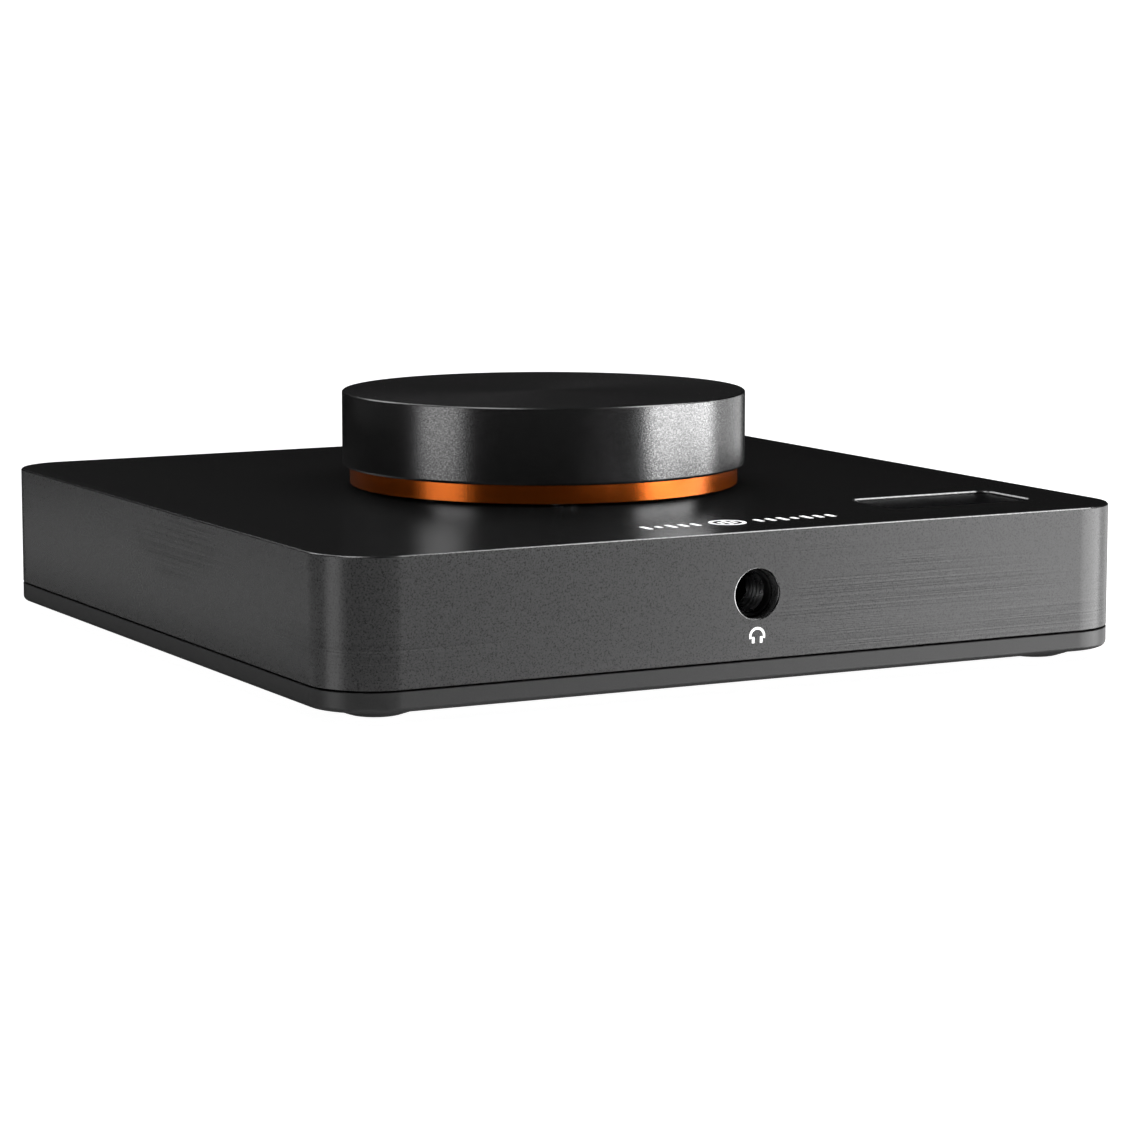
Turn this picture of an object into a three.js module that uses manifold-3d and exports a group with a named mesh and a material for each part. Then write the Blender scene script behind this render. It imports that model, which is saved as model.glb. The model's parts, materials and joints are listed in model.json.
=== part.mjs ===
// Desktop digital-to-analogue converter with a large volume knob on its top.
// Millimetres, +Z up. X runs to the right and Y to the back, and the feet stand on Z = 0.
// X = 0 is the plane of symmetry of the case.
// Y = 0 is the middle of the whole length, the rear sockets included.

import * as THREE from 'three';
import { mergeVertices } from 'three/addons/utils/BufferGeometryUtils.js';
import Module from 'manifold-3d';

const wasm = await Module();
wasm.setup();

// ---------------------------------------------------------------- driving dimensions

const GAP = 0.1;                       // between pieces that rest on each other
const SEAT = 0.05;                     // between pieces that are clamped together
const FIT = 0.2;                       // between a part and the roof or wall that it is fixed to
const PORT_FIT = 0.3;                  // between a socket or button and its hole in the rear wall
const OVER = 1;                        // how far a cutter runs past the face that it leaves
const ROUND = { fine: 64, medium: 24, small: 16 };

const foot = { radius: 8, flat: 4.5, height: 2, dome: 1.6, inset: 12.5 };
const base = { size: 155, corner: 11.5, bottom: foot.height, top: 5.45, edge: 0.8, lip: 1.2, lipClear: 0.4 };
const shell = { size: 155, corner: 11.5, bottom: 5.75, top: 27.5, wall: 3, chamfer: 0.5 };
const boss = { radius: 4.5, x: 69.5, y: 38, bottom: 6.85, boreDepth: 9 };
const screw = { shank: 1.4, head: 2.8, headHeight: 1.5, socket: 1.15, socketDepth: 1.3 };

const pcb = { width: 126, depth: 144, corner: 3, thickness: 1.6, standoff: 3, screwX: 58, screwY: 66 };
const standoff = { radius: 3.1, bore: 1.5, floor: 0.4 };
const boardScrew = { head: 2.7, headHeight: 1.8, shank: 1.3, hole: 1.7 };
const crossSlot = { width: 0.7, length: 3, depth: 1 };

const knob = { radius: 37.25, height: 13.7, chamfer: 0.5, boss: 8, bossLift: 0.5, rimInner: 27, roof: 6 };
const ring = { radius: 35.85, inner: 33.2, height: 3.35, lift: 0.5 };
const spigot = { radius: 33, lift: 0.8 };
const shaft = { radius: 3, flat: 2.5, clear: 0.1, grip: 9.5 };
const grub = { radius: 1.5, hole: 1.65, length: 5, socket: 0.8, socketDepth: 1.6 };

const encoder = { size: 13.2, height: 7.7, bush: 4.5, bushTop: 3.1, bore: 3.1, floor: 0.4 };
const nut = { radius: 6.9, height: 2 };
const washer = { radius: 7.2, height: 0.5, bore: 4.6 };
const plunger = { radius: 2.8, height: 0.8, lift: 0.6 };
const encoderBoard = { size: 20, thickness: 1.6 };
const encoderHeader = { y: -8, width: 15, depth: 2.5 };

const display = { x: 51.4, y: -55.1, width: 29.8, depth: 15.6, corner: 2.5, sink: 0.45, clear: 0.15 };
const displayFlange = { margin: 1.6, thickness: 1.1, corner: 1 };
const displayModule = { width: 30, depth: 16, height: 6 };
const displayBoard = { width: 34, depth: 20, thickness: 1.6 };
const displayHeader = { width: 12, depth: 2.5 };

const portZ = 16.8;                    // centre height of the headphone socket and the rear sockets
const jack = { hole: 4.2, holeChamfer: 0.25, bore: 3.6, width: 16, length: 32, boreLength: 29, height: 11 };
const jackNose = { radius: 4.1, sink: 2 };
const jackSleeve = { inner: 3.4, outer: 3.9, from: 0.8, length: 6.4 };
const spring = { width: 0.8, thickness: 0.3, slot: 3.7, pitch: 1.2 };
const springFold = { dip: 2.6, lead: 3, hook: 1.2, tail: 9, headroom: 0.4, ringAt: 13, tipAt: 18 };

const lineOut = { left: -28, right: -12, shell: 4.15, shellInner: 3.35, reach: 8.5, root: 5.8, hole: 4.6 };
const lineOutCore = { bore: 1.8, setBack: 0.8 };
const lineOutPin = { radius: 1.65, bore: 1.25, setBack: 1.6 };
const lineOutBlock = { width: 33, depth: 12, height: 11.1 };
const usb = { x: 28, width: 8.94, height: 3.26, wall: 0.3, length: 10.2, cutout: 0.7 };
const tongue = { width: 6.7, thickness: 0.7, setBack: 0.9 };
const tongueRoot = { width: 6.9, depth: 1.6, height: 2.4 };
const optical = { x: 11, width: 10.8, depth: 14, height: 11, nose: 9.5, noseHeight: 9.8 };
const opticalCavity = { width: 7.9, height: 8.2, depth: 13.3 };
const shutter = { width: 7.6, bottom: 13, top: 20.6, thickness: 0.8, back: 4.2 };
const dc = { x: 45, width: 9, nose: 3.9, bore: 3.1, boreDepth: 11.3, pin: 1.05, pinRoot: 2.3 };
const dcBlock = { depth: 13.7, height: 10.9 };
const power = { x: -46, cap: 4, proud: 2.8, inside: 3.9, stem: 1.5, stemLength: 6.6 };
const powerSwitch = { width: 9, depth: 11.5, height: 10.2, room: 2.1, bore: 7.5 };

const capacitor = { radius: 5, height: 12, x: -42, y: { left: 26, right: 40 } };

// ---------------------------------------------------------------- heights and faces worked out from them

const half = shell.size / 2;
const roofUnder = shell.top - shell.wall;
const wallInner = half - shell.wall;
const baseFloor = base.top + base.lip;
const pcbBottom = baseFloor + pcb.standoff;
const pcbTop = pcbBottom + pcb.thickness;
const partsFloor = pcbTop + GAP;
const ringBottom = shell.top + ring.lift;
const knobBottom = ringBottom + ring.height + SEAT;
const knobTop = knobBottom + knob.height;
const panel = wallInner - PORT_FIT;    // rear faces of the housings that stand behind the rear wall
const flush = half - FIT;              // noses that end just inside the rear face
const centreY = -lineOut.reach / 2;    // the case's own centre in the finished model

// ---------------------------------------------------------------- materials

function material(colour, roughness, metalness) {
  return () => new THREE.MeshStandardMaterial({ color: colour, roughness, metalness });
}

const darkAluminium = material(0x242425, 0.45, 0.9);
const orangeAluminium = material(0xe8761a, 0.4, 0.9);
const blackPlastic = material(0x17171a, 0.6, 0);
const whitePlastic = material(0xd9d9d6, 0.5, 0);
const redPlastic = material(0xa31d1d, 0.5, 0);
const rubber = material(0x0e0e0e, 0.9, 0);
const steel = material(0x9a9c9f, 0.35, 1);
const blackSteel = material(0x222224, 0.45, 0.9);
const brass = material(0xc9a24a, 0.3, 1);
const smokedPanel = material(0x060607, 0.1, 0);
const fibreBoard = material(0x12351f, 0.6, 0);
const chipBody = material(0x1b1b1d, 0.55, 0);

// ---------------------------------------------------------------- shapes

function roundedRect(width, depth, radius, x = 0, y = 0) {
  const w = width / 2;
  const d = depth / 2;
  const shape = new THREE.Shape();
  shape.moveTo(x - w + radius, y - d);
  shape.lineTo(x + w - radius, y - d);
  shape.absarc(x + w - radius, y - d + radius, radius, -Math.PI / 2, 0);
  shape.lineTo(x + w, y + d - radius);
  shape.absarc(x + w - radius, y + d - radius, radius, 0, Math.PI / 2);
  shape.lineTo(x - w + radius, y + d);
  shape.absarc(x - w + radius, y + d - radius, radius, Math.PI / 2, Math.PI);
  shape.lineTo(x - w, y - d + radius);
  shape.absarc(x - w + radius, y - d + radius, radius, Math.PI, Math.PI * 1.5);
  shape.closePath();
  return shape;
}

// A round section with one flat, the flat facing +Y at the given distance from the axis.
function flattedRound(radius, flat) {
  const start = Math.asin(flat / radius);
  const shape = new THREE.Shape();
  shape.absarc(0, 0, radius, Math.PI - start, 2 * Math.PI + start);
  shape.closePath();
  return shape;
}

function extrudeUp(shape, bottom, top, curveSegments = 8) {
  const options = { depth: top - bottom, bevelEnabled: false, curveSegments };
  const geometry = new THREE.ExtrudeGeometry(shape, options);
  return geometry.translate(0, 0, bottom);
}

// An outline in X and Z, pushed from yFront to yBack.
function extrudeBack(shape, yFront, yBack, curveSegments = 8) {
  return extrudeUp(shape, -yBack, -yFront, curveSegments).rotateX(Math.PI / 2);
}

function block(x0, x1, y0, y1, z0, z1) {
  const geometry = new THREE.BoxGeometry(x1 - x0, y1 - y0, z1 - z0);
  return geometry.translate((x0 + x1) / 2, (y0 + y1) / 2, (z0 + z1) / 2);
}

function blockAt(x, y, width, depth, bottom, top) {
  return block(x - width / 2, x + width / 2, y - depth / 2, y + depth / 2, bottom, top);
}

function discUp(radius, bottom, top, x = 0, y = 0, segments = ROUND.small) {
  const geometry = new THREE.CylinderGeometry(radius, radius, top - bottom, segments);
  return geometry.rotateX(Math.PI / 2).translate(x, y, (bottom + top) / 2);
}

function rodBack(radius, yFront, yBack, x, z, segments = ROUND.small, radiusBack = radius) {
  const geometry = new THREE.CylinderGeometry(radiusBack, radius, yBack - yFront, segments);
  return geometry.translate(x, (yFront + yBack) / 2, z);
}

// A profile of [radius, height] points turned about Z. It runs from the lower axis point to the upper one.
function turnedUp(profile, x, y, segments) {
  const points = profile.map(([r, z]) => new THREE.Vector2(r, z));
  return new THREE.LatheGeometry(points, segments).rotateX(Math.PI / 2).translate(x, y, 0);
}

// ---------------------------------------------------------------- joining and cutting

function solid(geometry) {
  const bare = geometry.index ? geometry.clone() : geometry;
  bare.deleteAttribute('normal');
  bare.deleteAttribute('uv');
  const merged = mergeVertices(bare, 1e-5);
  const vertProperties = new Float32Array(merged.attributes.position.array);
  const triVerts = new Uint32Array(merged.index.array);
  return new wasm.Manifold(new wasm.Mesh({ numProp: 3, vertProperties, triVerts }));
}

function geometryOf(body) {
  const mesh = body.getMesh();
  const geometry = new THREE.BufferGeometry();
  geometry.setAttribute('position', new THREE.BufferAttribute(new Float32Array(mesh.vertProperties), 3));
  geometry.setIndex(new THREE.BufferAttribute(new Uint32Array(mesh.triVerts), 1));
  geometry.computeVertexNormals();
  return geometry;
}

function join(...geometries) {
  return geometryOf(geometries.map(solid).reduce((whole, next) => whole.add(next)));
}

function cut(geometry, ...tools) {
  return geometryOf(tools.map(solid).reduce((whole, tool) => whole.subtract(tool), solid(geometry)));
}

// ---------------------------------------------------------------- scene graph

const group = new THREE.Group();
const body = new THREE.Group();
body.position.y = centreY;
group.add(body);

function add(name, geometry, makeMaterial) {
  const mesh = new THREE.Mesh(geometry, makeMaterial());
  mesh.name = name;
  body.add(mesh);
}

const CORNERS = [
  ['front_left', -1, -1],
  ['front_right', 1, -1],
  ['rear_left', -1, 1],
  ['rear_right', 1, 1],
];

// ---------------------------------------------------------------- case

function caseBlank() {
  const outline = roundedRect(shell.size, shell.size, shell.corner);
  const blank = new THREE.ExtrudeGeometry(outline, {
    depth: shell.top - shell.bottom,
    bevelEnabled: true,
    bevelThickness: shell.chamfer,
    bevelSize: shell.chamfer,
    bevelOffset: -shell.chamfer,
    bevelSegments: 1,
    curveSegments: 8,
  });
  blank.translate(0, 0, shell.bottom - shell.chamfer);
  return cut(blank, blockAt(0, 0, shell.size + 2, shell.size + 2, shell.bottom - 2, shell.bottom));
}

function rearCutouts() {
  const from = wallInner - OVER;
  const to = half + OVER;
  const usbWidth = usb.width + usb.cutout;
  const usbHeight = usb.height + usb.cutout;
  const usbOutline = roundedRect(usbWidth, usbHeight, usbHeight / 2 - 0.05, usb.x, usbZ());
  const opticalOutline = roundedRect(optical.nose + 2 * PORT_FIT, optical.noseHeight + 2 * PORT_FIT, 0.5,
    optical.x, opticalZ());
  return [
    rodBack(lineOut.hole, from, to, lineOut.left, portZ, ROUND.medium),
    rodBack(lineOut.hole, from, to, lineOut.right, portZ, ROUND.medium),
    rodBack(dc.nose + PORT_FIT, from, to, dc.x, portZ, ROUND.medium),
    rodBack(power.cap + PORT_FIT, from, to, power.x, portZ, ROUND.medium),
    extrudeBack(usbOutline, from, to, 4),
    extrudeBack(opticalOutline, from, to, 3),
  ];
}

function topCase() {
  const inner = roundedRect(2 * wallInner, 2 * wallInner, shell.corner - shell.wall);
  const hollow = extrudeUp(inner, shell.bottom - OVER, roofUnder);
  const posts = CORNERS.map(([, sx, sy]) => (
    discUp(boss.radius, boss.bottom, roofUnder + OVER, sx * boss.x, sy * boss.y)
  ));
  const bores = CORNERS.map(([, sx, sy]) => (
    discUp(screw.shank + 0.2, boss.bottom - OVER, boss.bottom + boss.boreDepth, sx * boss.x, sy * boss.y)
  ));
  const window = roundedRect(display.width, display.depth, display.corner, display.x, display.y);
  const jackHole = rodBack(jack.hole, -half - OVER, -wallInner + OVER, 0, portZ, ROUND.medium);
  const rim = rodBack(jack.hole + jack.holeChamfer + 0.5, -half - 0.5, -half + jack.holeChamfer,
    0, portZ, ROUND.medium, jack.hole);
  const open = cut(caseBlank(), hollow);
  const withPosts = join(open, ...posts);
  return cut(
    withPosts,
    ...bores,
    extrudeUp(window, roofUnder - OVER, shell.top + OVER, 6),
    discUp(encoder.bush + 0.15, roofUnder - OVER, shell.top + OVER, 0, 0, ROUND.medium),
    jackHole,
    rim,
    ...rearCutouts(),
  );
}

function basePlate() {
  const outline = roundedRect(base.size, base.size, base.corner);
  const slab = new THREE.ExtrudeGeometry(outline, {
    depth: base.top - base.bottom,
    bevelEnabled: true,
    bevelThickness: base.edge,
    bevelSize: base.edge,
    bevelOffset: -base.edge,
    bevelSegments: 2,
    curveSegments: 8,
  });
  slab.translate(0, 0, base.bottom + base.edge);
  const lipSize = 2 * (wallInner - base.lipClear);
  const lip = roundedRect(lipSize, lipSize, shell.corner - shell.wall - base.lipClear);
  const plate = join(
    cut(slab, blockAt(0, 0, base.size + 2, base.size + 2, base.top, base.top + 4)),
    extrudeUp(lip, base.top - 1, baseFloor),
  );
  const holes = CORNERS.flatMap(([, sx, sy]) => {
    const x = sx * boss.x;
    const y = sy * boss.y;
    const sink = turnedUp([
      [0, base.bottom - 0.3],
      [screw.head + 0.5, base.bottom - 0.3],
      [screw.shank + 0.3, base.bottom + screw.headHeight + 0.2],
      [0, base.bottom + screw.headHeight + 0.2],
    ], x, y, ROUND.small);
    return [sink, discUp(screw.shank + 0.3, base.bottom - 1, baseFloor + 1, x, y)];
  });
  return cut(plate, ...holes);
}

function footPad(x, y) {
  const edge = [0, 0.25, 0.5, 0.75, 1].map((t) => {
    const angle = t * Math.PI / 2;
    return [foot.flat + (foot.radius - foot.flat) * Math.sin(angle), foot.dome * (1 - Math.cos(angle))];
  });
  const profile = [[0, 0], ...edge, [foot.radius, foot.height], [0, foot.height]];
  return turnedUp(profile, x, y, ROUND.medium);
}

function baseScrew(x, y) {
  const start = base.bottom + 0.05;
  const end = boss.bottom + boss.boreDepth - 1;
  const pin = turnedUp([
    [0, start],
    [screw.head, start],
    [screw.shank, start + screw.headHeight],
    [screw.shank, end],
    [0, end],
  ], x, y, ROUND.small);
  return cut(pin, discUp(screw.socket, start - 1, start + screw.socketDepth, x, y, 6));
}

function buildCase() {
  add('top_case', topCase(), darkAluminium);
  add('base_plate', basePlate(), darkAluminium);
  const spot = half - foot.inset;
  for (const [place, sx, sy] of CORNERS) {
    add(`foot_${place}`, footPad(sx * spot, sy * spot), rubber);
    add(`base_screw_${place}`, baseScrew(sx * boss.x, sy * boss.y), blackSteel);
  }
}

// ---------------------------------------------------------------- knob, ring and encoder

const grubZ = knobBottom + 4;

function volumeKnob() {
  const cavityTop = knobTop - knob.roof;
  const bossBottom = knobBottom + knob.bossLift;
  const r = knob.radius;
  const c = knob.chamfer;
  const blank = turnedUp([
    [0, bossBottom],
    [knob.boss, bossBottom],
    [knob.boss, cavityTop],
    [knob.rimInner, cavityTop],
    [knob.rimInner, shell.top + spigot.lift],
    [spigot.radius, shell.top + spigot.lift],
    [spigot.radius, knobBottom],
    [r - c, knobBottom],
    [r, knobBottom + c],
    [r, knobTop - c],
    [r - c, knobTop],
    [0, knobTop],
  ], 0, 0, ROUND.fine);
  const bore = flattedRound(shaft.radius + shaft.clear, shaft.flat + shaft.clear);
  return cut(
    blank,
    extrudeUp(bore, bossBottom - OVER, bossBottom + shaft.grip, 16),
    rodBack(grub.hole, 1, r + 1, 0, grubZ),
  );
}

function accentRing() {
  const top = ringBottom + ring.height;
  return cut(
    discUp(ring.radius, ringBottom, top, 0, 0, ROUND.fine),
    discUp(ring.inner, ringBottom - OVER, top + OVER, 0, 0, ROUND.fine),
  );
}

function grubScrew() {
  const start = shaft.flat + 0.2;
  const end = start + grub.length;
  return cut(
    rodBack(grub.radius, start, end, 0, grubZ),
    rodBack(grub.socket, end - grub.socketDepth, end + OVER, 0, grubZ, 6),
  );
}

const encoderTop = roofUnder - FIT;
const encoderBottom = encoderTop - encoder.height;
const plungerBottom = encoderBottom + encoder.floor + plunger.lift;
const shaftBottom = plungerBottom + plunger.height + GAP;

function encoderShaft() {
  const top = knobBottom + knob.bossLift + shaft.grip - 0.5;
  const flatFrom = knobBottom + knob.bossLift - 0.5;
  return cut(
    discUp(shaft.radius, shaftBottom, top, 0, 0, ROUND.medium),
    block(-4, 4, shaft.flat, 4, flatFrom, top + 1),
  );
}

function encoderHousing() {
  const bushTop = shell.top + encoder.bushTop;
  const whole = join(
    blockAt(0, 0, encoder.size, encoder.size, encoderBottom, encoderTop),
    discUp(encoder.bush, encoderTop - 1, bushTop, 0, 0, ROUND.medium),
  );
  return cut(whole, discUp(encoder.bore, encoderBottom + encoder.floor, bushTop + 1, 0, 0, ROUND.medium));
}

function buildControl() {
  add('volume_knob', volumeKnob(), darkAluminium);
  add('accent_ring', accentRing(), orangeAluminium);
  add('knob_grub_screw', grubScrew(), blackSteel);
  add('encoder_shaft', encoderShaft(), steel);
  add('encoder_plunger', discUp(plunger.radius, plungerBottom, plungerBottom + plunger.height), blackPlastic);
  add('encoder_housing', encoderHousing(), steel);

  const washerBottom = shell.top + SEAT;
  const nutBottom = washerBottom + washer.height + SEAT;
  add('encoder_washer', cut(
    discUp(washer.radius, washerBottom, washerBottom + washer.height, 0, 0, ROUND.medium),
    discUp(washer.bore, washerBottom - OVER, washerBottom + washer.height + OVER, 0, 0, ROUND.medium),
  ), steel);
  add('encoder_nut', cut(
    discUp(nut.radius, nutBottom, nutBottom + nut.height, 0, 0, 6),
    discUp(washer.bore, nutBottom - OVER, nutBottom + nut.height + OVER, 0, 0, ROUND.medium),
  ), steel);

  const boardTop = encoderBottom - FIT;
  const boardBottom = boardTop - encoderBoard.thickness;
  const side = encoderBoard.size;
  add('encoder_board', blockAt(0, 0, side, side, boardBottom, boardTop), fibreBoard);
  const header = encoderHeader;
  const headerTop = boardBottom - GAP;
  const pins = blockAt(0, header.y, header.width, header.depth, partsFloor, headerTop);
  add('encoder_header', pins, blackPlastic);
}

// ---------------------------------------------------------------- display

function displayWindow() {
  const plugTop = shell.top - display.sink;
  const flangeTop = roofUnder - FIT;
  const flangeBottom = flangeTop - displayFlange.thickness;
  const width = display.width - 2 * display.clear;
  const depth = display.depth - 2 * display.clear;
  const margin = displayFlange.margin;
  const plug = roundedRect(width, depth, display.corner - display.clear, display.x, display.y);
  const flangeWidth = display.width + 2 * margin;
  const flangeDepth = display.depth + 2 * margin;
  const flange = roundedRect(flangeWidth, flangeDepth, displayFlange.corner, display.x, display.y);
  return join(
    extrudeUp(flange, flangeBottom, flangeTop, 3),
    extrudeUp(plug, flangeTop - displayFlange.thickness / 2, plugTop, 6),
  );
}

function buildDisplay() {
  const moduleTop = roofUnder - displayFlange.thickness - 2 * FIT;
  const moduleBottom = moduleTop - displayModule.height;
  const boardTop = moduleBottom - GAP;
  const boardBottom = boardTop - displayBoard.thickness;
  const { x, y } = display;
  add('display_window', displayWindow(), smokedPanel);
  const { width, depth } = displayModule;
  const board = displayBoard;
  add('display_module', blockAt(x, y, width, depth, moduleBottom, moduleTop), blackPlastic);
  add('display_board', blockAt(x, y, board.width, board.depth, boardBottom, boardTop), fibreBoard);
  const header = displayHeader;
  const headerTop = boardBottom - GAP;
  add('display_header', blockAt(x, y, header.width, header.depth, partsFloor, headerTop), blackPlastic);
}

// ---------------------------------------------------------------- headphone socket

const jackFront = -wallInner + FIT;
const jackBack = jackFront + jack.length;
const sleeveFront = jackFront + jackSleeve.from;
const sleeveBack = sleeveFront + jackSleeve.length;

function jackHousing() {
  const whole = join(
    blockAt(0, (jackFront + jackBack) / 2, jack.width, jack.length, partsFloor, partsFloor + jack.height),
    rodBack(jackNose.radius, -half + jackNose.sink, jackFront + OVER, 0, portZ, ROUND.medium),
  );
  const slot = block(-spring.slot / 2, spring.slot / 2,
    sleeveBack + 1, jackFront + jack.boreLength - 2, portZ, partsFloor + jack.height + OVER);
  return cut(
    whole,
    rodBack(jack.bore, -half, jackFront + jack.boreLength, 0, portZ, ROUND.medium),
    rodBack(jackSleeve.outer + GAP, sleeveFront - GAP, sleeveBack + GAP, 0, portZ, ROUND.medium),
    slot,
  );
}

// The turned bush that grounds the plug. It sits in a groove of the bore, just behind the front wall.
function sleeveContact() {
  return cut(
    rodBack(jackSleeve.outer, sleeveFront, sleeveBack, 0, portZ, ROUND.medium),
    rodBack(jackSleeve.inner, sleeveFront - OVER, sleeveBack + OVER, 0, portZ, ROUND.medium),
  );
}

// A leaf spring bent to a shallow V, whose fold touches the plug at the given place along the bore.
function contactSpring(x, fold) {
  const top = partsFloor + jack.height - springFold.headroom;
  const low = portZ + springFold.dip;
  const t = spring.thickness;
  const back = fold + springFold.tail;
  const front = fold - springFold.lead;
  const outline = new THREE.Shape();
  outline.moveTo(back, top - t);
  outline.lineTo(fold, low);
  outline.lineTo(front, low + springFold.hook);
  outline.lineTo(front, low + springFold.hook + t);
  outline.lineTo(fold, low + t);
  outline.lineTo(back, top);
  outline.closePath();
  const strip = extrudeUp(outline, -spring.width / 2, spring.width / 2);
  const turn = new THREE.Matrix4().makeBasis(
    new THREE.Vector3(0, 1, 0),
    new THREE.Vector3(0, 0, 1),
    new THREE.Vector3(1, 0, 0),
  );
  return strip.applyMatrix4(turn).translate(x, 0, 0);
}

function buildJack() {
  add('headphone_jack_housing', jackHousing(), blackPlastic);
  add('jack_sleeve_contact', sleeveContact(), steel);
  add('jack_ring_contact', contactSpring(-spring.pitch, jackFront + springFold.ringAt), steel);
  add('jack_tip_contact', contactSpring(spring.pitch, jackFront + springFold.tipAt), steel);
}

// ---------------------------------------------------------------- rear sockets

function usbZ() {
  return partsFloor + usb.height / 2;
}

function opticalZ() {
  return portZ + 0.1;
}

function lineOutShell(x) {
  const from = panel - lineOut.root;
  const to = half + lineOut.reach;
  return cut(
    rodBack(lineOut.shell, from, to, x, portZ, ROUND.medium),
    rodBack(lineOut.shellInner, from - OVER, to + OVER, x, portZ, ROUND.medium),
  );
}

function lineOutInsulator(x) {
  const from = panel - lineOut.root;
  const to = half + lineOut.reach - lineOutCore.setBack;
  return cut(
    rodBack(lineOut.shellInner - GAP, from, to, x, portZ, ROUND.medium),
    rodBack(lineOutCore.bore, from - OVER, to + OVER, x, portZ),
  );
}

function lineOutContact(x) {
  const from = panel - lineOut.root + 1;
  const to = half + lineOut.reach - lineOutPin.setBack;
  return cut(
    rodBack(lineOutPin.radius, from, to, x, portZ),
    rodBack(lineOutPin.bore, from + 1, to + OVER, x, portZ),
  );
}

function lineOutHousing() {
  const middle = (lineOut.left + lineOut.right) / 2;
  const whole = blockAt(middle, panel - lineOutBlock.depth / 2, lineOutBlock.width, lineOutBlock.depth,
    partsFloor, partsFloor + lineOutBlock.height);
  const pockets = [lineOut.left, lineOut.right].map((x) => (
    rodBack(lineOut.shell + GAP, panel - lineOut.root - FIT, panel + OVER, x, portZ, ROUND.medium)
  ));
  return cut(whole, ...pockets);
}

function usbShell() {
  const z = usbZ();
  const w = usb.wall;
  const outer = roundedRect(usb.width, usb.height, usb.height / 2 - 0.05, usb.x, z);
  const inner = roundedRect(usb.width - 2 * w, usb.height - 2 * w, usb.height / 2 - w - 0.05, usb.x, z);
  const from = flush - usb.length;
  return cut(extrudeBack(outer, from, flush, 4), extrudeBack(inner, from - OVER, flush + OVER, 4));
}

function usbTongue() {
  const z = usbZ();
  const from = flush - usb.length;
  const root = tongueRoot;
  return join(
    blockAt(usb.x, from + 1, root.width, root.depth, z - root.height / 2, z + root.height / 2),
    block(usb.x - tongue.width / 2, usb.x + tongue.width / 2, from + 1.5, flush - tongue.setBack,
      z - tongue.thickness / 2, z + tongue.thickness / 2),
  );
}

function opticalHousing() {
  const z = opticalZ();
  const x = optical.x;
  const housingTop = partsFloor + optical.height;
  const nose = roundedRect(optical.nose, optical.noseHeight, 0.4, x, z);
  const whole = join(
    blockAt(x, panel - optical.depth / 2, optical.width, optical.depth, partsFloor, housingTop),
    extrudeBack(nose, panel - OVER, flush, 3),
  );
  const { width, height, depth } = opticalCavity;
  const cavity = block(x - width / 2, x + width / 2, flush - depth, flush + OVER,
    z - height / 2, z + height / 2);
  return cut(whole, cavity);
}

function opticalShutter() {
  const back = flush - shutter.back;
  return block(optical.x - shutter.width / 2, optical.x + shutter.width / 2,
    back, back + shutter.thickness, shutter.bottom, shutter.top);
}

function dcHousing() {
  const boreEnd = flush - dc.boreDepth;
  const housingTop = partsFloor + dcBlock.height;
  const whole = join(
    blockAt(dc.x, panel - dcBlock.depth / 2, dc.width, dcBlock.depth, partsFloor, housingTop),
    rodBack(dc.nose, panel - OVER, flush, dc.x, portZ, ROUND.medium),
  );
  return cut(
    whole,
    rodBack(dc.bore, boreEnd, flush + OVER, dc.x, portZ, ROUND.medium),
    rodBack(dc.pin + GAP, boreEnd - dc.pinRoot, boreEnd + OVER, dc.x, portZ),
  );
}

function dcPin() {
  const boreEnd = flush - dc.boreDepth;
  return rodBack(dc.pin, boreEnd - dc.pinRoot + FIT, flush - 1, dc.x, portZ);
}

const capInner = half - power.inside;
const switchFace = capInner - powerSwitch.room;

function switchBody() {
  return cut(
    blockAt(power.x, switchFace - powerSwitch.depth / 2, powerSwitch.width, powerSwitch.depth,
      partsFloor, partsFloor + powerSwitch.height),
    rodBack(power.stem + PORT_FIT, switchFace - powerSwitch.bore, switchFace + OVER, power.x, portZ),
  );
}

function powerCap() {
  return join(
    rodBack(power.cap, capInner, half + power.proud, power.x, portZ, ROUND.medium),
    rodBack(power.stem, capInner - power.stemLength, capInner + 1, power.x, portZ),
  );
}

function buildRear() {
  const lineOuts = [['left', lineOut.left, whitePlastic], ['right', lineOut.right, redPlastic]];
  for (const [side, x, insulator] of lineOuts) {
    add(`line_out_shell_${side}`, lineOutShell(x), brass);
    add(`line_out_insulator_${side}`, lineOutInsulator(x), insulator);
    add(`line_out_contact_${side}`, lineOutContact(x), brass);
  }
  add('line_out_housing', lineOutHousing(), blackPlastic);
  add('usb_socket_shell', usbShell(), steel);
  add('usb_socket_tongue', usbTongue(), blackPlastic);
  add('optical_socket_housing', opticalHousing(), blackPlastic);
  add('optical_shutter', opticalShutter(), blackPlastic);
  add('dc_jack_housing', dcHousing(), blackPlastic);
  add('dc_jack_pin', dcPin(), steel);
  add('power_switch_body', switchBody(), blackPlastic);
  add('power_button_cap', powerCap(), darkAluminium);
}

// ---------------------------------------------------------------- main board

function mainBoard() {
  const outline = roundedRect(pcb.width, pcb.depth, pcb.corner);
  const holes = CORNERS.map(([, sx, sy]) => (
    discUp(boardScrew.hole, pcbBottom - OVER, pcbTop + OVER, sx * pcb.screwX, sy * pcb.screwY)
  ));
  return cut(extrudeUp(outline, pcbBottom, pcbTop, 3), ...holes);
}

function boardStandoff(x, y) {
  return cut(
    discUp(standoff.radius, baseFloor, pcbBottom - GAP, x, y, 6),
    discUp(standoff.bore, baseFloor + standoff.floor, pcbBottom + OVER, x, y),
  );
}

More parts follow.
